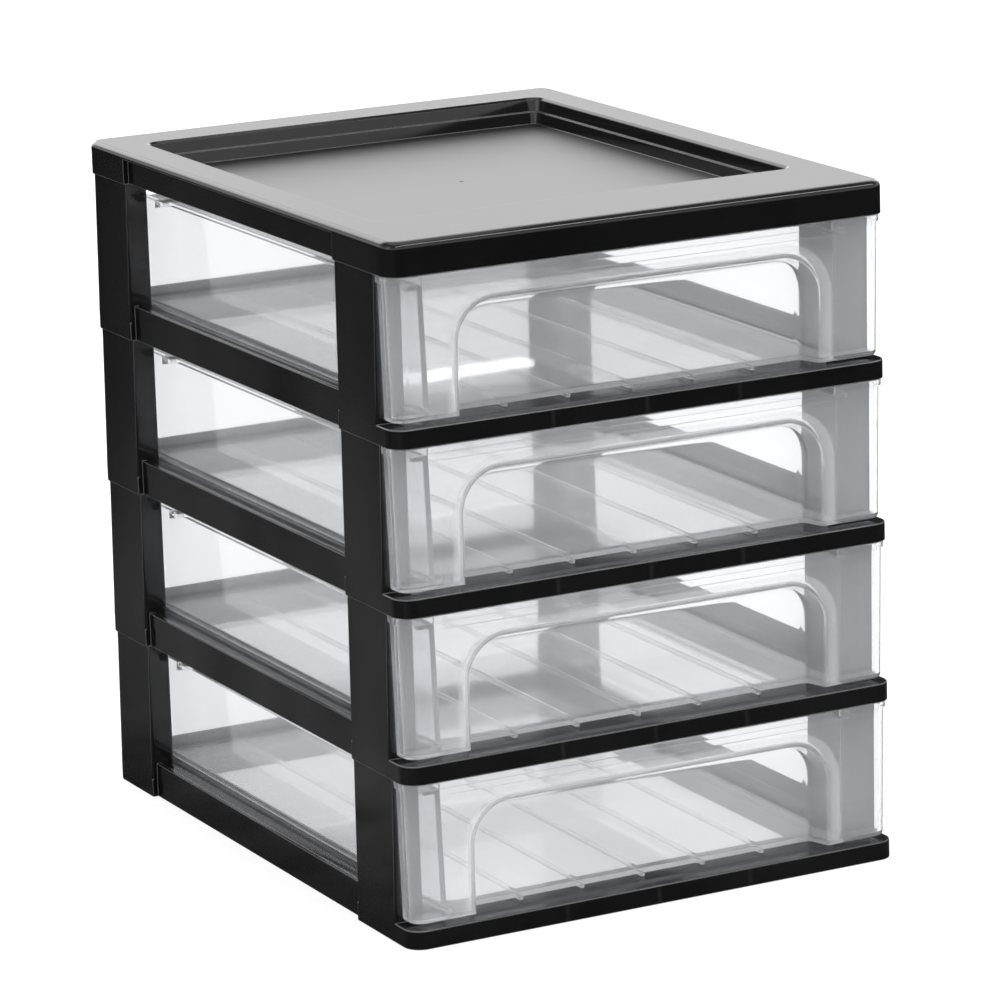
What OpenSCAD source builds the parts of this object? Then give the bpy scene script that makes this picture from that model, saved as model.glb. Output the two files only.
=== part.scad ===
// Letter tray stack: black frames that plug into each other, a recessed cover, and frosted drawers.
// Front is -Y, up is +Z. The origin is the middle of the footprint, on the desk.

/* [Stack] */
// Width over the frames
stack_w = 260; // [250:1:320]
// Depth from the front lips to the backs
stack_d = 335; // [325:1:380]
// Height of one tier, from seam to seam
tier_h = 78.5; // [70:0.5:110]
// Radius of the upright corners
corner_r = 8.5; // [7:0.5:12]
// How much a post leans in, over its height, so that the piece above stands proud of it
post_lean = 1; // [0.2:0.1:1.2]
// Wall of the black mouldings
frame_wall = 2.2; // [1.6:0.1:2.6]

/* [Tier frame] */
// Height of the front lip and of the shelf that the drawer slides on
lip_h = 9; // [7:0.5:12]
// Round on the upper edge of the lip
lip_edge_r = 0.8; // [0.4:0.1:1.2]
// Width of the shelf behind the lip
front_shelf_w = 30; // [24:1:40]
// Width of the shelf along each side and along the back
side_shelf_w = 28; // [24:1:32]
// Height of the side and back rails
rail_h = 17; // [14:0.5:24]
// How far the rails stand in from the posts' outer faces
rail_inset = 2.8; // [1.5:0.1:3.5]
// Distance from the lip's front to the front posts, where the drawer front sits
post_setback = 17; // [16:0.5:24]
// Depth of the front posts, front to back
front_post_d = 39.5; // [34:0.5:50]
// Depth of the rear posts, front to back
rear_post_d = 45; // [34:0.5:50]
// Thickness of the front posts, side to side
front_post_w = 14.5; // [14:0.5:18]
// Thickness of the rear posts, side to side
rear_post_w = 12.4; // [11:0.1:13]
// Round on the posts' upright edges
post_edge_r = 1.5; // [0.5:0.1:2]
// Height of the spigot on each post, which plugs into the piece above
spigot_h = 6; // [4:0.5:6.5]
// Space round a spigot in its socket
spigot_gap = 0.3; // [0.2:0.1:0.5]
// Spacing of the stiffening ribs under lips, rails and rims
rib_pitch = 49; // [35:1:65]
// Thickness of those ribs
rib_w = 1.6; // [1.2:0.1:2]

/* [Top cover] */
// Height of the cover
cover_h = 16; // [15:0.5:22]
// Round on the cover's upper edge
cover_edge_r = 3.5; // [2:0.1:4]
// Depth of the tray sunk into the cover
tray_depth = 13; // [9:0.5:13]
// Thickness of the sunk panel
panel_t = 2; // [1.5:0.1:2]
// Width of the rim beside the sunk tray
side_rim_w = 19; // [18:0.5:30]
// Width of the rim behind the sunk tray
back_rim_w = 27; // [22:1:40]
// Width of the rim in front of the sunk tray
front_rim_w = 52; // [40:1:70]
// Radius of the sunk tray's upright corners
tray_corner_r = 6; // [5:0.5:9]
// Bevel where the rim turns down into the sunk tray
rim_bevel = 1.2; // [0.5:0.1:1.5]
// Height of the upper step of the sunk tray's wall, below the bevel
step_h = 5.8; // [4:0.2:6]
// Width of the ledge between the two steps
ledge_w = 1.5; // [1:0.1:2]
// How much each step leans
step_lean = 0.8; // [0.4:0.1:1]

/* [Drawer] */
// Wall of the clear mouldings
drawer_wall = 2; // [1.6:0.1:2.2]
// Space under the drawer's runners
shelf_gap = 0.3; // [0.2:0.1:0.5]
// Height of the runners under the floor
runner_h = 1.7; // [1:0.1:2.5]
// Width of each runner
runner_w = 1.8; // [1.2:0.1:2.4]
// Spacing of the runners across the middle
runner_pitch = 32.5; // [26:0.5:36]
// Space over the drawer front
head_gap = 0.5; // [0.4:0.1:1.2]
// Space between the drawer front's returns and the front posts
return_gap = 2.5; // [0.5:0.1:3.5]
// How far the drawer front's rim stands back from the lip
head_setback = 0.5; // [0.3:0.1:2]
// How far the rim stands in from the stack's sides
head_inset = 0.6; // [0.2:0.1:1]
// Height of the rim along the top of the drawer front
rim_h = 3; // [2:0.1:4]
// How far the rim stands proud of the drawer front
rim_proud = 1; // [0.6:0.1:1.5]
// How much the drawer front leans in towards its foot
head_lean = 1.2; // [0.6:0.1:2]
// Radius of the drawer front's upright corners
head_corner_r = 8; // [6:0.5:10]
// Round on the foot of the drawer front
head_foot_r = 1.5; // [0.5:0.1:1.5]
// Space between the drawer's flange and the front posts
flange_gap = 0.5; // [0.4:0.1:1]
// Width of the flange round the top of the drawer's walls
flange_w = 5.5; // [3:0.1:6.5]
// Thickness of that flange
flange_t = 2; // [1.6:0.1:2.4]
// How far the drawer's walls stop below its front
wall_drop = 7; // [5:0.5:12]
// How much the drawer's walls lean in towards the floor
drawer_lean = 1.5; // [0.8:0.1:2.5]
// Space between the flange and the back of the stack
back_gap = 2; // [1:0.1:4]
// Radius of the drawer's upright corners
drawer_corner_r = 10; // [9:0.5:12]
// Round between the drawer's walls and floor
drawer_foot_r = 4; // [2.5:0.1:4.4]

/* [Finger recess] */
// Width of the arch, over its outer edge
arch_w = 195; // [150:1:200]
// Drop from the top of the drawer front to the arch
arch_drop = 11.8; // [10:0.1:20]
// Radius of the arch's outer corners
arch_corner_r = 22.5; // [18:0.5:26]
// Depth of the recess
arch_depth = 13; // [11:0.1:13.5]
// Radius of each bend of the recess's curved flank
bend_r = 3.5; // [3:0.1:4]
// Slope of the flank between its two bends, in degrees
flank_slope = 72; // [66:1:78]

/* [Stop tabs] */
// Length of each stop tab, front to back
tab_len = 10; // [8:0.5:14]
// Height of a tab's gusset at its rear end
tab_h = 2.2; // [1.5:0.1:5]
// How far a tab reaches past the flange
tab_reach = 3.3; // [2:0.1:3.6]
// Distance from a tab to the rear post behind it
tab_setback = 10; // [2:0.5:16]

/* [Hidden] */
$fn = 64;
tiers = 4;
// A hair's breadth: how far a cut runs past a face, and a round past the line that it blends into
eps = 0.01;
black = "#1b1b1d";
clear = [0.87, 0.89, 0.92, 0.55];

half_w = stack_w / 2;
half_d = stack_d / 2;
rail_x = half_w - rail_inset;
rail_y = half_d - rail_inset;
front_post_x = half_w - front_post_w;
rear_post_x = half_w - rear_post_w;
front_post_y = -half_d + post_setback;
front_post_back = front_post_y + front_post_d;
rear_post_y = half_d - rear_post_d;
shelf_x = rail_x - side_shelf_w;
shelf_y = rail_y - side_shelf_w;
front_shelf_y = -half_d + front_shelf_w;
post_h = tier_h - lip_h;
cover_z = tiers * tier_h;

tray_x = half_w - side_rim_w;
tray_front = -half_d + front_rim_w;
tray_back = half_d - back_rim_w;

floor_z = lip_h + shelf_gap + runner_h;
head_top = tier_h - head_gap;
head_h = head_top - floor_z;
wall_top = head_top - wall_drop;
wall_h = wall_top - floor_z;
rim_x = half_w - head_inset;
head_x = rim_x - rim_proud;
rim_front = -half_d + head_setback;
head_front = rim_front + rim_proud;
head_back = front_post_y - return_gap;
flange_x = front_post_x - flange_gap;
flange_back = half_d - back_gap;
drawer_x = flange_x - flange_w;
drawer_back = flange_back - flange_w;
drawer_front = head_front + drawer_wall;
outer_runner_x = drawer_x - drawer_lean - drawer_foot_r - runner_w / 2;

arch_x = arch_w / 2;
arch_top = head_top - arch_drop;
head_tilt = atan(head_lean / head_h);
// The flank is an S: a bend, a straight slope and a bend back
flank_straight = (arch_depth - 2 * bend_r * (1 - cos(flank_slope))) / sin(flank_slope);
flank_run = 2 * bend_r * sin(flank_slope) + flank_straight * cos(flank_slope);

// ---- Shapes that repeat ----

// Edge of a tub in section: x is measured from the centre of its plan corner, y is up from its floor
module tub_edge(h, r, lean, foot_r) {
    slope = lean / h;
    stretch = sqrt(1 + slope * slope);
    touch_x = r - lean + slope * foot_r - foot_r * stretch;
    centre_x = lean > 0 ? touch_x + eps : touch_x;
    if (foot_r > 0) {
        polygon([[0, 0], [centre_x, 0],
                 [touch_x + foot_r / stretch, foot_r - foot_r * slope / stretch],
                 [r, h], [0, h]]);
        intersection() {
            translate([centre_x, foot_r]) circle(foot_r);
            square([r, h]);
        }
    } else {
        polygon([[0, 0], [r - lean, 0], [r, h], [0, h]]);
    }
}

// Whole section of a tub from a to b
module tub_section(a, b, h, r, lean, foot_r) {
    translate([b - r, 0]) tub_edge(h, r, lean, foot_r);
    translate([a + r, 0]) mirror([1, 0]) tub_edge(h, r, lean, foot_r);
    translate([a + r, 0]) square([b - a - 2 * r, h]);
}

// Solid tub with upright corners of radius r at its top, walls that lean in downwards and a round foot
module tub(x0, x1, y0, y1, h, r, lean, foot_r) {
    for (x = [x0 + r, x1 - r], y = [y0 + r, y1 - r])
        translate([x, y, 0]) rotate_extrude() tub_edge(h, r, lean, foot_r);
    translate([0, y1 - r, 0]) rotate([90, 0, 0])
        linear_extrude(y1 - y0 - 2 * r) tub_section(x0, x1, h, r, lean, foot_r);
    translate([x0 + r, 0, 0]) rotate([90, 0, 90])
        linear_extrude(x1 - x0 - 2 * r) tub_section(y0, y1, h, r, lean, foot_r);
}

// The same tub upside down, so that its round edge is on top
module dome(x0, x1, y0, y1, h, r, lean, foot_r) {
    translate([0, 0, h]) mirror([0, 0, 1]) tub(x0, x1, y0, y1, h, r, lean, foot_r);
}

// Rectangle with round corners
module round_rect(x0, x1, y0, y1, r) {
    if (r > 0) {
        for (x = [x0 + r, x1 - r], y = [y0 + r, y1 - r]) translate([x, y]) circle(r);
        translate([x0 + r, y0]) square([x1 - x0 - 2 * r, y1 - y0]);
        translate([x0, y0 + r]) square([x1 - x0, y1 - y0 - 2 * r]);
    } else {
        translate([x0, y0]) square([x1 - x0, y1 - y0]);
    }
}

// Footprint of the stack, taken in by inset
module footprint(inset) {
    round_rect(-half_w + inset, half_w - inset, -half_d + inset, half_d - inset, corner_r - inset);
}

// Where the sides and back step in between the posts, taken in by inset
module ring_steps(inset) {
    for (side = [-1, 1])
        translate([side * (rail_x - inset + half_w), (front_post_back + rear_post_y) / 2])
            square([stack_w, rear_post_y - front_post_back + 2 * inset], center = true);
    translate([0, rail_y - inset + half_d])
        square([2 * (rear_post_x + inset), stack_d], center = true);
}

// Footprint of the base ring, without those steps
module ring_outline(inset) {
    difference() {
        footprint(inset);
        ring_steps(inset);
    }
}

// Footprints of the four posts, taken in by inset
module post_outlines(inset) {
    edge_r = max(post_edge_r - inset, 0);
    intersection() {
        footprint(inset);
        for (side = [0, 1]) mirror([side, 0]) {
            round_rect(front_post_x + inset, half_w - inset,
                       front_post_y + inset, front_post_back - inset, edge_r);
            round_rect(rear_post_x + inset, half_w - inset,
                       rear_post_y + inset, half_d + corner_r, edge_r);
        }
    }
}

// Plan of the stiffening ribs: across the front and back, and across the sides
module rib_lines() {
    front_ribs = floor((front_post_x - rib_w) / rib_pitch);
    for (i = [-front_ribs : front_ribs])
        translate([i * rib_pitch, 0]) square([rib_w, stack_d], center = true);
    middle_y = (front_post_back + rear_post_y) / 2;
    side_ribs = floor((rear_post_y - middle_y - rib_w) / rib_pitch);
    for (i = [-side_ribs : side_ribs])
        translate([0, middle_y + i * rib_pitch]) square([stack_w, rib_w], center = true);
}

// ---- Tier frame ----

// Opening through the middle of the ring, between the shelves, made larger by grow
module ring_opening(grow) {
    round_rect(-shelf_x - grow, shelf_x + grow, front_shelf_y - grow, shelf_y + grow,
               corner_r + grow);
}

// Upright rails between the posts, along the sides and the back
module rails() {
    bite = frame_wall / 2;
    for (side = [0, 1]) mirror([side, 0, 0])
        translate([rail_x - frame_wall, front_post_back - bite, 0])
            cube([frame_wall, rear_post_y - front_post_back + 2 * bite, rail_h]);
    translate([-rear_post_x - bite, rail_y - frame_wall, 0])
        cube([2 * (rear_post_x + bite), frame_wall, rail_h]);
}

// Outer form: lip and shelves, rails between the posts, and the leaning posts
module frame_form() {
    difference() {
        union() {
            dome(-half_w, half_w, -half_d, half_d, lip_h, corner_r, 0, lip_edge_r);
            rails();
            linear_extrude(lip_h) post_outlines(0);
            translate([0, 0, lip_h]) intersection() {
                linear_extrude(post_h) post_outlines(0);
                dome(-half_w, half_w, -half_d, half_d, post_h, corner_r, post_lean, 0);
            }
        }
        translate([0, 0, -eps]) linear_extrude(lip_h + eps) ring_steps(0);
        translate([0, 0, -eps]) linear_extrude(tier_h) ring_opening(0);
    }
}

// The channel under the lip and shelves, clear of the post tubes and of the stiffening ribs
module frame_channel() {
    translate([0, 0, -eps]) linear_extrude(lip_h - frame_wall + eps) difference() {
        ring_outline(frame_wall);
        ring_opening(frame_wall);
        post_outlines(0);
        rib_lines();
    }
}

module spigots() {
    translate([0, 0, tier_h - eps]) linear_extrude(spigot_h + eps)
        post_outlines(frame_wall + spigot_gap);
}

module tier_frame(tier) {
    color(black) translate([0, 0, (tier - 1) * tier_h]) difference() {
        union() {
            frame_form();
            spigots();
        }
        frame_channel();
        translate([0, 0, -eps]) linear_extrude(tier_h - 2 * frame_wall)
            post_outlines(frame_wall);
        linear_extrude(tier_h + spigot_h - frame_wall)
            post_outlines(2 * frame_wall + spigot_gap);
    }
}

// ---- Top cover ----

// The tray sunk into the cover, made larger by grow; z is up from the cover's top
module sunk_tray(grow) {
    lower_h = tray_depth - rim_bevel - step_h;
    upper_x = tray_x - rim_bevel + grow;
    upper_front = tray_front + rim_bevel - grow;
    upper_back = tray_back - rim_bevel + grow;
    inset = step_lean + ledge_w;
    r = tray_corner_r + grow;
    translate([0, 0, -tray_depth - grow])
        tub(-upper_x + inset, upper_x - inset, upper_front + inset, upper_back - inset,
            lower_h + grow + eps, r - inset, step_lean, 0);
    translate([0, 0, -rim_bevel - step_h - grow])
        tub(-upper_x, upper_x, upper_front, upper_back, step_h + grow + eps, r, step_lean, 0);
    translate([0, 0, -rim_bevel])
        tub(-tray_x - grow - eps, tray_x + grow + eps, tray_front - grow - eps, tray_back + grow + eps,
            rim_bevel + eps, r + rim_bevel + eps, rim_bevel + eps, 0);
}

// Outer form, with its sides and back stepped in between the posts below the round edge
module cover_form() {
    difference() {
        dome(-half_w, half_w, -half_d, half_d, cover_h, corner_r, 0, cover_edge_r);
        translate([0, 0, -eps]) linear_extrude(cover_h - cover_edge_r + eps) ring_steps(0);
    }
}

// Space under the cover, between its skirt, its sunk tray and the sockets for the spigots
module cover_hollow() {
    inner_w = half_w - frame_wall;
    inner_d = half_d - frame_wall;
    hollow_h = cover_h - frame_wall;
    difference() {
        translate([0, 0, -eps])
            dome(-inner_w, inner_w, -inner_d, inner_d, hollow_h + eps, corner_r - frame_wall,
                 0, max(cover_edge_r - frame_wall, 0));
        translate([0, 0, -cover_h]) linear_extrude(2 * cover_h) ring_steps(frame_wall);
        translate([0, 0, cover_h]) sunk_tray(panel_t);
        linear_extrude(cover_h) post_outlines(0);
        linear_extrude(cover_h) difference() {
            rib_lines();
            round_rect(-tray_x, tray_x, tray_front, tray_back, tray_corner_r);
        }
    }
}

module top_cover() {
    color(black) translate([0, 0, cover_z]) difference() {
        cover_form();
        cover_hollow();
        translate([0, 0, -eps]) linear_extrude(cover_h - frame_wall) post_outlines(frame_wall);
        translate([0, 0, cover_h]) sunk_tray(0);
    }
}

// ---- Drawer ----

// Section of the finger recess's flank, with the bends moved out by wall:
// x is measured from the centre of the arch's corner, y is the depth behind the drawer front
module flank(wall) {
    near_r = bend_r - wall;
    far_r = bend_r + wall;
    near = [arch_corner_r, bend_r - eps];
    far = [arch_corner_r - flank_run, arch_depth - bend_r + eps];
    full = arch_depth + wall;
    across = [sin(flank_slope), cos(flank_slope)];
    difference() {
        polygon([[0, -arch_depth], [arch_corner_r, -arch_depth], [arch_corner_r, wall],
                 near - (near_r - 2 * eps) * across, far + (far_r - 2 * eps) * across,
                 [far.x, full], [0, full]]);
        translate(near) circle(near_r);
    }
    intersection() {
        translate(far) circle(far_r);
        translate([0, -arch_depth]) square([arch_corner_r, full + 2 * arch_depth]);
    }
}

// The arched recess, open at its foot, that fingers reach up into
module finger_recess(wall) {
    centre_x = arch_x - arch_corner_r;
    centre_z = arch_top - arch_corner_r;
    leg_foot = floor_z - arch_corner_r;
    translate([0, head_front, head_top]) rotate([head_tilt, 0, 0]) translate([0, 0, -head_top]) {
        translate([0, 0, leg_foot]) linear_extrude(centre_z - leg_foot) {
            for (side = [0, 1]) mirror([side, 0]) translate([centre_x, 0]) flank(wall);
            translate([-centre_x, -arch_depth]) square([2 * centre_x, 2 * arch_depth + wall]);
        }
        translate([-centre_x, 0, centre_z]) rotate([90, 0, 90]) linear_extrude(2 * centre_x)
            mirror([1, -1]) flank(wall);
        for (x = [-centre_x, centre_x])
            translate([x, 0, centre_z]) rotate([-90, 0, 0]) rotate_extrude() flank(wall);
    }
}

// Drawer front with its returns, taken in by inset
module head_form(inset) {
    intersection() {
        translate([0, 0, floor_z + inset])
            tub(-head_x + inset, head_x - inset, head_front + inset, 0,
                head_h - inset + eps * inset, head_corner_r - inset,
                head_lean * (head_h - inset) / head_h, max(head_foot_r - inset, 0));
        translate([-half_w, -half_d, 0])
            cube([stack_w, head_back - inset + half_d, 2 * tier_h]);
    }
}

// Drawer box behind the front, taken in by inset
module box_form(inset) {
    translate([0, 0, floor_z + inset])
        tub(-drawer_x + inset, drawer_x - inset, drawer_front + inset, drawer_back - inset,
            wall_h - inset + eps * inset, drawer_corner_r - inset,
            drawer_lean * (wall_h - inset) / wall_h, drawer_foot_r - inset);
}

// Band along the top of the drawer front
module head_rim() {
    translate([0, 0, head_top - rim_h]) linear_extrude(rim_h) intersection() {
        round_rect(-rim_x, rim_x, rim_front, 0, head_corner_r + rim_proud);
        translate([-half_w, -half_d]) square([stack_w, head_back + half_d]);
    }
}

// Flange round the tops of the walls
module flange() {
    translate([0, 0, wall_top - flange_t]) linear_extrude(flange_t)
        round_rect(-flange_x, flange_x, drawer_front, flange_back, drawer_corner_r + flange_w);
}

// Tabs under the flange that meet the backs of the front posts when the drawer is pulled out
module stop_tabs() {
    tab_back = rear_post_y - tab_setback;
    tab_x = flange_x + tab_reach;
    for (side = [0, 1]) mirror([side, 0, 0])
        translate([drawer_x - drawer_wall / 2, 0, 0]) rotate([90, 0, 90])
            linear_extrude(tab_x - drawer_x + drawer_wall / 2)
                polygon([[tab_back, wall_top], [tab_back, wall_top - flange_t - tab_h],
                         [tab_back - tab_len, wall_top - flange_t],
                         [tab_back - tab_len, wall_top]]);
}

// The way in over the walls, through the back of the drawer front
module mouth() {
    translate([-drawer_x + drawer_wall, head_front + drawer_wall, wall_top - eps])
        cube([2 * (drawer_x - drawer_wall), post_setback, head_top - wall_top + 2 * eps]);
}

// Runners under the floor, which slide on the shelves
module runners() {
    runner_back = drawer_back - drawer_lean - drawer_foot_r;
    places = concat([for (i = [-2 : 2]) i * runner_pitch], [-outer_runner_x, outer_runner_x]);
    for (x = places)
        translate([x - runner_w / 2, head_back, floor_z - runner_h])
            cube([runner_w, runner_back - head_back, runner_h + drawer_wall / 2]);
}

module drawer(tier) {
    color(clear) translate([0, 0, (tier - 1) * tier_h]) difference() {
        union() {
            head_form(0);
            box_form(0);
            head_rim();
            flange();
            stop_tabs();
            runners();
        }
        difference() {
            union() {
                head_form(drawer_wall);
                box_form(drawer_wall);
                mouth();
            }
            finger_recess(drawer_wall);
        }
        finger_recess(0);
    }
}

top_cover();
for (tier = [1 : tiers]) {
    tier_frame(tier);
    drawer(tier);
}
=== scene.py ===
"""Letter tray stack with frosted drawers: finishes, moulding marks, studio and camera.

Metres, in the CAD model's frame: front is -Y, up is +Z, and the stack stands on z = 0.
"""

import math

import bmesh
import bpy
from mathutils import Matrix, Vector

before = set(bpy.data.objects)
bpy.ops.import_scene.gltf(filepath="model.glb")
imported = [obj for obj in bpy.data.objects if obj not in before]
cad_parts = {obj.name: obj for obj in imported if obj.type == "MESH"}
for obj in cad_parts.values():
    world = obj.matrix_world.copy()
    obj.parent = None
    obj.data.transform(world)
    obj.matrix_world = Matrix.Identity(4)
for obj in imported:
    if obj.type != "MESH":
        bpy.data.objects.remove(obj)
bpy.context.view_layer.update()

MM = 0.001
WHITE = (1, 1, 1, 1)

# Sizes of the model that the finishes follow
TIER_H = 0.0785
ARCH_X = 0.0975         # half the width of the drawers' arched recess
ARCH_Z = 0.0662         # top of the arch, above the foot of its tier
ARCH_R = 0.0225         # radius of the arch's upper corners
HEAD_Y = -0.166         # face of the drawer fronts
LIP_Y = (-0.1668, -0.1664)      # from the lips' upright faces to what lies behind them
RIB_PITCH = 0.049
RIBBED_X = (0.060, 0.061)       # ends of the ribbed stretch, either side of the middle
GATE = (0, 0.0125, 0.317)       # where the cover was injected

# Black polystyrene: tones are times its colour, and bands are of a normal's Z unless said
BLACK = (0.0045, 0.0045, 0.0048)
BLACK_IOR = 1.55
BLACK_EDGE_R = 0.7 * MM
BLACK_EDGE_SAMPLES = 6
# Painted highlight: rounded edges get a lighter base colour, standing in for the highlight lines
# along them
EDGE_HIGHLIGHT_TONE = 36.0
EDGE_HIGHLIGHT_BAND = (0.80, 0.995)       # cosine between the rounded normal and the flat one
RIB_TONE = 1.5
RIB_BAND = (0.2 * MM, 1.5 * MM)         # distance from a rib's middle
# Painted highlight: rounds that turn upwards, such as the lips' top edges, get a lighter base
# colour
CREST_HIGHLIGHT_TONE = 22.0
CREST_HIGHLIGHT_BAND = (0.15, 0.45)
CREST_HIGHLIGHT_END = (0.90, 0.98)
CLOUD_TONES = (0.85, 1.2)
GLOSS_ROUGHNESS = (0.04, 0.11)
SATIN_ROUGHNESS = 0.44
SATIN_BAND = (0.80, 0.99)
GATE_ROUGHNESS = 0.9
GATE_BAND = (0.9 * MM, 1.7 * MM)        # distance from the gate's middle

# Frosted drawers: a share of milky light lies over the clear plastic
CLEAR = (0.955, 0.962, 0.97, 1)
CLEAR_IOR = 1.45
CLEAR_ROUGHNESS = 0.035
CLEAR_EDGE_R = 0.5 * MM
CLEAR_EDGE_SAMPLES = 4
MILK = (0.94, 0.95, 0.98, 1)
MILK_SHARE = (0.085, 0.34)
MILK_FACING = (0.68, 1.0)       # from nearly face-on to edge-on
BEND_SHARE = 0.24
BEND_OUTSIDE = (3.0 * MM, 3.5 * MM)
BEND_INSIDE = (-2.4 * MM, -1.2 * MM)
BEND_DEPTH = (4.5 * MM, 6.5 * MM)       # behind the drawer's face
PASSING = (0.97, 0.97, 0.97, 1)         # light that goes through on its way from a lamp

# Floor, world and dark cards
FLOOR_SIZE = 6
FLOOR_DROP = 0.2 * MM
FLOOR_FILL = (0.8, 0.8, 0.8, 1)         # what it throws onto the stack
FLOOR_SHADOWED = (0.36, 0.36, 0.36, 1)  # the part of what is seen that takes shadows
FLOOR_GLOW = 0.72                       # and the part that doesn't
AMBIENT = 0.9
SKY_GLOSS = (1.0, 0.25)                 # seen directly, from the horizon up
SKY_GLOSS_BAND = (0.25, 0.65)
SKY_THROUGH = (1.0, 0.60)               # seen through clear plastic
SKY_THROUGH_BAND = (0.05, 0.20)
CARD_Z = (0.0, 0.30)
CARD_Z_TONES = (0.20, 0.05)
CARD_X = (-0.235, -0.14)
CARD_X_TONES = (1.0, 0.35)
CARD_STREAKS = (0.45, 1.6)
CARD_RINGS = ((0.11, 0.14, -0.1 * MM), (0.24, 0.29, -0.1 * MM), (0.24, 0.29, 0.335))

# Camera, fitted to the photograph: a long lens at the front left, a little above the stack
CAMERA_AZIMUTH = math.radians(27.332)
CAMERA_ELEVATION = math.radians(13.818)
CAMERA_ROLL = math.radians(-1.826)
CAMERA_DISTANCE = 2.582045
CAMERA_AIM = Vector((0, 0, 0.165))
CAMERA_OFFSET = (-0.008088, 0.004017)
FOCAL_PIXELS = 5285.35
IMAGE_PIXELS = 1000
SENSOR_MM = 36


# ---- Node helpers ----

def add(tree, kind, **settings):
    """A new node with its properties and its sockets' values set by name."""
    node = tree.nodes.new(kind)
    for key, value in settings.items():
        if key in node.inputs:
            node.inputs[key].default_value = value
        else:
            setattr(node, key, value)
    return node


def link(tree, source, target):
    tree.links.new(source, target)


def new_material(name):
    material = bpy.data.materials.new(name)
    material.use_nodes = True
    tree = material.node_tree
    tree.nodes.clear()
    return material, tree, tree.nodes.new("ShaderNodeOutputMaterial")


def math_node(tree, operation, *values):
    """A Math node whose inputs are sockets or numbers."""
    node = add(tree, "ShaderNodeMath", operation=operation)
    for socket, value in zip(node.inputs, values):
        if isinstance(value, (int, float)):
            socket.default_value = value
        else:
            link(tree, value, socket)
    return node.outputs["Value"]


def chain(tree, operation, *values):
    """One Math operation over two or more values, from left to right."""
    total = values[0]
    for value in values[1:]:
        total = math_node(tree, operation, total, value)
    return total


def split(tree, vector):
    """The X, Y and Z of a vector."""
    axes = tree.nodes.new("ShaderNodeSeparateXYZ")
    link(tree, vector, axes.inputs["Vector"])
    return axes.outputs["X"], axes.outputs["Y"], axes.outputs["Z"]


def spread(tree, value, source, target):
    """A value mapped from one range onto another, and held at its ends."""
    mapped = tree.nodes.new("ShaderNodeMapRange")
    mapped.inputs["From Min"].default_value, mapped.inputs["From Max"].default_value = source
    mapped.inputs["To Min"].default_value, mapped.inputs["To Max"].default_value = target
    link(tree, value, mapped.inputs["Value"])
    return mapped.outputs["Result"]


def rising(tree, value, band):
    """0 below a band, 1 above it."""
    return spread(tree, value, band, (0.0, 1.0))


def falling(tree, value, band):
    """1 below a band, 0 above it."""
    return spread(tree, value, band, (1.0, 0.0))


def object_place(tree):
    return tree.nodes.new("ShaderNodeTexCoord").outputs["Object"]


def object_noise(tree, scale, detail, stretch=(1, 1, 1)):
    """Noise in the object's own space, stretched along its axes."""
    mapping = tree.nodes.new("ShaderNodeMapping")
    mapping.inputs["Scale"].default_value = stretch
    link(tree, object_place(tree), mapping.inputs["Vector"])
    noise = add(tree, "ShaderNodeTexNoise", Scale=scale, Detail=detail)
    link(tree, mapping.outputs["Vector"], noise.inputs["Vector"])
    return noise.outputs["Fac"]


def patches(tree, target, **noise):
    """Soft patches between two values: most noise lies between 0.3 and 0.7."""
    return spread(tree, object_noise(tree, **noise), (0.3, 0.7), target)


def rounded(tree, radius, samples):
    """The normal with each edge rounded."""
    edge = tree.nodes.new("ShaderNodeBevel")
    edge.samples = samples
    edge.inputs["Radius"].default_value = radius
    return edge.outputs["Normal"]


def bumped(tree, height, distance, normal):
    bump = add(tree, "ShaderNodeBump", Strength=1.0, Distance=distance)
    link(tree, height, bump.inputs["Height"])
    link(tree, normal, bump.inputs["Normal"])
    return bump.outputs["Normal"]


def mix_shaders(tree, share, first, second):
    """Two shaders mixed by a number or a socket: 0 is the first alone."""
    mix = tree.nodes.new("ShaderNodeMixShader")
    if isinstance(share, (int, float)):
        mix.inputs["Fac"].default_value = share
    else:
        link(tree, share, mix.inputs["Fac"])
    link(tree, first, mix.inputs[1])
    link(tree, second, mix.inputs[2])
    return mix.outputs["Shader"]


# ---- Black mouldings ----

def painted_edge_highlight(tree, edge_normal, face_normal):
    """Painted highlight: the base colour is lighter on rounded edges, standing in for the
    highlight lines along them.
    """
    turn = add(tree, "ShaderNodeVectorMath", operation="DOT_PRODUCT")
    link(tree, edge_normal, turn.inputs[0])
    link(tree, face_normal, turn.inputs[1])
    return spread(tree, turn.outputs["Value"], EDGE_HIGHLIGHT_BAND, (EDGE_HIGHLIGHT_TONE, 1.0))


def rib_tone(tree):
    """The faint upright lines that the ribs leave on the lips' faces."""
    x, y, _ = split(tree, object_place(tree))
    from_rib = math_node(tree, "PINGPONG", x, RIB_PITCH / 2)
    return chain(tree, "MULTIPLY",
                 spread(tree, from_rib, RIB_BAND, (RIB_TONE, 0.0)),
                 falling(tree, y, LIP_Y),
                 falling(tree, math_node(tree, "ABSOLUTE", x), RIBBED_X))


def painted_crest_highlight(tree, up):
    """Painted highlight: rounds that turn upwards, such as the lips' top edges, get a lighter
    base colour.
    """
    return math_node(tree, "MULTIPLY", spread(tree, up, CREST_HIGHLIGHT_BAND, (0.0, CREST_HIGHLIGHT_TONE)),
                     falling(tree, up, CREST_HIGHLIGHT_END))


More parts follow.
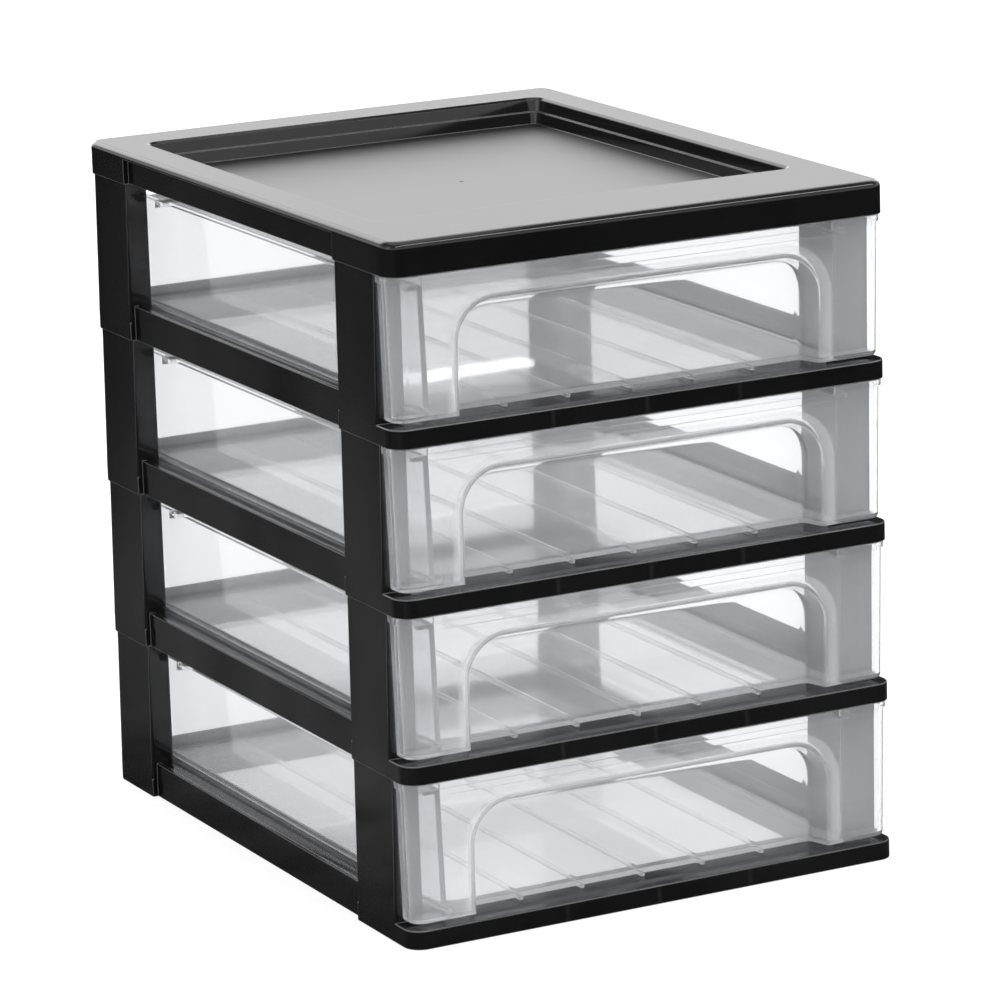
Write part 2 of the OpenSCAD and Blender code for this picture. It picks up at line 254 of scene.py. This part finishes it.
def satin_gloss(tree, gloss, up):
    """Roughness with a fine satin texture on the faces that look up, and the round gate mark."""
    satin = add(tree, "ShaderNodeMix", data_type="FLOAT")
    link(tree, rising(tree, up, SATIN_BAND), satin.inputs["Factor"])
    link(tree, gloss, satin.inputs["A"])
    satin.inputs["B"].default_value = SATIN_ROUGHNESS
    gate = add(tree, "ShaderNodeVectorMath", operation="DISTANCE")
    link(tree, object_place(tree), gate.inputs[0])
    gate.inputs[1].default_value = GATE
    mark = spread(tree, gate.outputs["Value"], GATE_BAND, (GATE_ROUGHNESS, 0.0))
    return math_node(tree, "MAXIMUM", satin.outputs["Result"], mark)


def black_plastic(name, is_cover):
    """Gloss black polystyrene: rounded edges, slightly wavy faces, patches of softer gloss, and
    painted highlights on its edges and, except on the cover, on its upturned rounds.
    """
    material, tree, output = new_material(name)
    shader = add(tree, "ShaderNodeBsdfPrincipled", IOR=BLACK_IOR)
    edge_normal = rounded(tree, BLACK_EDGE_R, BLACK_EDGE_SAMPLES)
    face_normal = tree.nodes.new("ShaderNodeNewGeometry").outputs["Normal"]
    up = split(tree, face_normal)[2]
    # painted highlight: rounded edges lighten the base colour
    tone = painted_edge_highlight(tree, edge_normal, face_normal)
    gloss = patches(tree, GLOSS_ROUGHNESS, scale=22, detail=3)
    if is_cover:
        gloss = satin_gloss(tree, gloss, up)
    else:
        # painted highlight on upturned rounds is added to the tone, along with the rib lines
        tone = chain(tree, "ADD", tone, rib_tone(tree), painted_crest_highlight(tree, up))
    link(tree, gloss, shader.inputs["Roughness"])
    tone = math_node(tree, "MULTIPLY", tone, patches(tree, CLOUD_TONES, scale=40, detail=3))
    base = add(tree, "ShaderNodeVectorMath", operation="SCALE")
    base.inputs[0].default_value = BLACK
    link(tree, tone, base.inputs["Scale"])
    link(tree, base.outputs["Vector"], shader.inputs["Base Color"])
    wave = bumped(tree, object_noise(tree, scale=14, detail=1), 0.10 * MM, edge_normal)
    grain = bumped(tree, object_noise(tree, scale=900, detail=2), 0.003 * MM, wave)
    link(tree, grain, shader.inputs["Normal"])
    link(tree, shader.outputs["BSDF"], output.inputs["Surface"])
    return material


# ---- Drawers ----

def arch_bend(tree):
    """1 on the bend between the drawer's face and the arch's flank, where it is milkier."""
    x, y, z = split(tree, object_place(tree))
    across = math_node(tree, "SUBTRACT", math_node(tree, "ABSOLUTE", x), ARCH_X - ARCH_R)
    height = math_node(tree, "FLOORED_MODULO", z, TIER_H)
    above = math_node(tree, "SUBTRACT", height, ARCH_Z - ARCH_R)
    past_corner = [math_node(tree, "POWER", math_node(tree, "MAXIMUM", way, 0.0), 2.0)
                   for way in (across, above)]
    round_part = math_node(tree, "SQRT", math_node(tree, "ADD", *past_corner))
    flat_part = math_node(tree, "MINIMUM", math_node(tree, "MAXIMUM", across, above), 0.0)
    outside = math_node(tree, "SUBTRACT", math_node(tree, "ADD", round_part, flat_part), ARCH_R)
    front = tuple(HEAD_Y + depth for depth in BEND_DEPTH)
    return chain(tree, "MULTIPLY", falling(tree, outside, BEND_OUTSIDE),
                 rising(tree, outside, BEND_INSIDE), falling(tree, y, front))


def frosted_plastic(name):
    """Clear plastic with a light frost, which blurs and veils what is behind it."""
    material, tree, output = new_material(name)
    glass = add(tree, "ShaderNodeBsdfPrincipled", IOR=CLEAR_IOR, Roughness=CLEAR_ROUGHNESS)
    glass.inputs["Base Color"].default_value = CLEAR
    glass.inputs["Transmission Weight"].default_value = 1.0
    edge_normal = rounded(tree, CLEAR_EDGE_R, CLEAR_EDGE_SAMPLES)
    wave = bumped(tree, object_noise(tree, scale=12, detail=1), 0.05 * MM, edge_normal)
    link(tree, wave, glass.inputs["Normal"])
    through = add(tree, "ShaderNodeBsdfTranslucent", Color=MILK)
    back = add(tree, "ShaderNodeBsdfDiffuse", Color=MILK)
    veil = mix_shaders(tree, 0.5, through.outputs["BSDF"], back.outputs["BSDF"])
    slope = add(tree, "ShaderNodeLayerWeight", Blend=0.5)
    milk = math_node(tree, "MAXIMUM",
                     spread(tree, slope.outputs["Facing"], MILK_FACING, MILK_SHARE),
                     math_node(tree, "MULTIPLY", arch_bend(tree), BEND_SHARE))
    frosted = mix_shaders(tree, milk, glass.outputs["BSDF"], veil)
    passing = add(tree, "ShaderNodeBsdfTransparent", Color=PASSING)
    ray = tree.nodes.new("ShaderNodeLightPath")
    lit = mix_shaders(tree, ray.outputs["Is Shadow Ray"], frosted, passing.outputs["BSDF"])
    link(tree, lit, output.inputs["Surface"])
    return material


# ---- A finish for each CAD node ----

black = black_plastic("black_gloss", is_cover=False)
black_satin = black_plastic("black_satin", is_cover=True)
clear = frosted_plastic("frosted_clear")


def finish_for(name):
    if name.startswith("drawer"):
        return clear
    return black_satin if name == "top_cover" else black


for name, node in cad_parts.items():
    node.data.materials.clear()
    node.data.materials.append(finish_for(name))


# ---- Studio ----

def seen_directly(tree):
    """1 for rays from the camera, from gloss and through clear plastic, 0 for fill light."""
    ray = tree.nodes.new("ShaderNodeLightPath").outputs
    return chain(tree, "MAXIMUM", ray["Is Camera Ray"], ray["Is Glossy Ray"],
                 ray["Is Transmission Ray"])


def staged(name, work, material):
    """A piece of the studio, from a bmesh, that isn't part of the object."""
    mesh = bpy.data.meshes.new(name)
    work.to_mesh(mesh)
    work.free()
    mesh.materials.append(material)
    piece = bpy.data.objects.new(name, mesh)
    bpy.context.scene.collection.objects.link(piece)
    return piece


def floor_material():
    """White with the stack's shadow where it is seen, pale where it throws light back."""
    material, tree, output = new_material("white_sweep")
    filling = add(tree, "ShaderNodeBsdfDiffuse", Color=FLOOR_FILL)
    shadowed = add(tree, "ShaderNodeBsdfDiffuse", Color=FLOOR_SHADOWED)
    glow = add(tree, "ShaderNodeEmission", Color=WHITE, Strength=FLOOR_GLOW)
    both = tree.nodes.new("ShaderNodeAddShader")
    link(tree, shadowed.outputs["BSDF"], both.inputs[0])
    link(tree, glow.outputs["Emission"], both.inputs[1])
    seen = mix_shaders(tree, seen_directly(tree), filling.outputs["BSDF"], both.outputs["Shader"])
    link(tree, seen, output.inputs["Surface"])
    return material


sweep = bmesh.new()
bmesh.ops.create_grid(sweep, x_segments=1, y_segments=1, size=FLOOR_SIZE)
floor = staged("floor", sweep, floor_material())
floor.location = (0, 0, -FLOOR_DROP)


def card_material():
    """Dark card, lighter towards the floor and to the left, with soft upright streaks."""
    material, tree, output = new_material("dark_card")
    x, _, z = split(tree, object_place(tree))
    tone = chain(tree, "MULTIPLY",
                 spread(tree, z, CARD_Z, CARD_Z_TONES),
                 spread(tree, x, CARD_X, CARD_X_TONES),
                 patches(tree, CARD_STREAKS, scale=14, detail=2, stretch=(1, 1, 0.35)))
    glow = add(tree, "ShaderNodeEmission", Color=WHITE)
    link(tree, tone, glow.inputs["Strength"])
    link(tree, glow.outputs["Emission"], output.inputs["Surface"])
    return material


def dark_cards():
    """Cards round the stack, seen only in its gloss, that keep its faces black."""
    work = bmesh.new()
    corners = ((-1, -1), (1, -1), (1, 1), (-1, 1))
    rings = [[work.verts.new((side_x * x, side_y * y, z)) for side_x, side_y in corners]
             for x, y, z in CARD_RINGS]
    for inner, outer in zip(rings, rings[1:]):
        for i, j in ((0, 1), (1, 2), (2, 3), (3, 0)):
            work.faces.new((inner[i], inner[j], outer[j], outer[i]))
    cards = staged("dark_cards", work, card_material())
    cards.visible_camera = False
    cards.visible_diffuse = False
    cards.visible_transmission = False
    cards.visible_shadow = False


dark_cards()


def softbox(name, place, aim, size, power):
    light = bpy.data.lights.new(name, "AREA")
    light.shape = "RECTANGLE"
    light.size, light.size_y = size
    light.energy = power
    lamp = bpy.data.objects.new(name, light)
    bpy.context.scene.collection.objects.link(lamp)
    lamp.location = place
    direction = Vector(aim) - Vector(place)
    lamp.rotation_euler = direction.to_track_quat("-Z", "Y").to_euler()
    lamp.visible_camera = False
    lamp.visible_transmission = False


softbox("softbox_back", place=(1.0, 2.6, 1.75), aim=(0, 0, 0.2), size=(4.6, 2.6), power=90)
softbox("softbox_top", place=(0, 0, 2.4), aim=(0, 0, 0), size=(2.0, 2.0), power=12)
softbox("softbox_left", place=(-2.2, -0.6, 1.2), aim=(0, 0, 0.15), size=(1.2, 1.6), power=5)
softbox("strip_front", place=(0.5, -1.6, 2.0), aim=(0, 0, 0.15), size=(3.4, 0.25), power=24)


def studio_world():
    """Even light, and a white backdrop that darkens above the horizon."""
    world = bpy.data.worlds.new("studio")
    world.use_nodes = True
    tree = world.node_tree
    tree.nodes.clear()
    ambient = add(tree, "ShaderNodeBackground", Color=WHITE, Strength=AMBIENT)
    height = split(tree, tree.nodes.new("ShaderNodeTexCoord").outputs["Generated"])[2]
    strength = add(tree, "ShaderNodeMix", data_type="FLOAT")
    ray = tree.nodes.new("ShaderNodeLightPath")
    link(tree, ray.outputs["Is Transmission Ray"], strength.inputs["Factor"])
    link(tree, spread(tree, height, SKY_GLOSS_BAND, SKY_GLOSS), strength.inputs["A"])
    link(tree, spread(tree, height, SKY_THROUGH_BAND, SKY_THROUGH), strength.inputs["B"])
    backdrop = add(tree, "ShaderNodeBackground", Color=WHITE)
    link(tree, strength.outputs["Result"], backdrop.inputs["Strength"])
    seen = mix_shaders(tree, seen_directly(tree), ambient.outputs["Background"],
                       backdrop.outputs["Background"])
    output = tree.nodes.new("ShaderNodeOutputWorld")
    link(tree, seen, output.inputs["Surface"])
    return world


# ---- Camera ----

def photo_camera():
    sin_a, cos_a = math.sin(CAMERA_AZIMUTH), math.cos(CAMERA_AZIMUTH)
    sin_e, cos_e = math.sin(CAMERA_ELEVATION), math.cos(CAMERA_ELEVATION)
    forward = Vector((sin_a * cos_e, cos_a * cos_e, -sin_e))
    level_right = Vector((cos_a, -sin_a, 0))
    level_up = level_right.cross(forward)
    right = math.cos(CAMERA_ROLL) * level_right + math.sin(CAMERA_ROLL) * level_up
    up = -math.sin(CAMERA_ROLL) * level_right + math.cos(CAMERA_ROLL) * level_up
    offset_x, offset_y = CAMERA_OFFSET
    place = CAMERA_AIM - right * offset_x - up * offset_y - forward * CAMERA_DISTANCE
    data = bpy.data.cameras.new("photo_camera")
    data.sensor_width = SENSOR_MM
    data.lens = FOCAL_PIXELS / IMAGE_PIXELS * SENSOR_MM
    data.clip_end = 20
    camera = bpy.data.objects.new("photo_camera", data)
    bpy.context.scene.collection.objects.link(camera)
    turn = Matrix((right, up, -forward)).transposed()
    camera.matrix_world = Matrix.Translation(place) @ turn.to_4x4()
    return camera


scene = bpy.context.scene
scene.world = studio_world()
scene.camera = photo_camera()
scene.view_settings.view_transform = "Standard"
# Enough bounces to see through four drawers' walls, one behind the other
scene.cycles.max_bounces = 32
scene.cycles.transmission_bounces = 32
scene.cycles.transparent_max_bounces = 32
scene.cycles.diffuse_bounces = 4
scene.cycles.glossy_bounces = 6
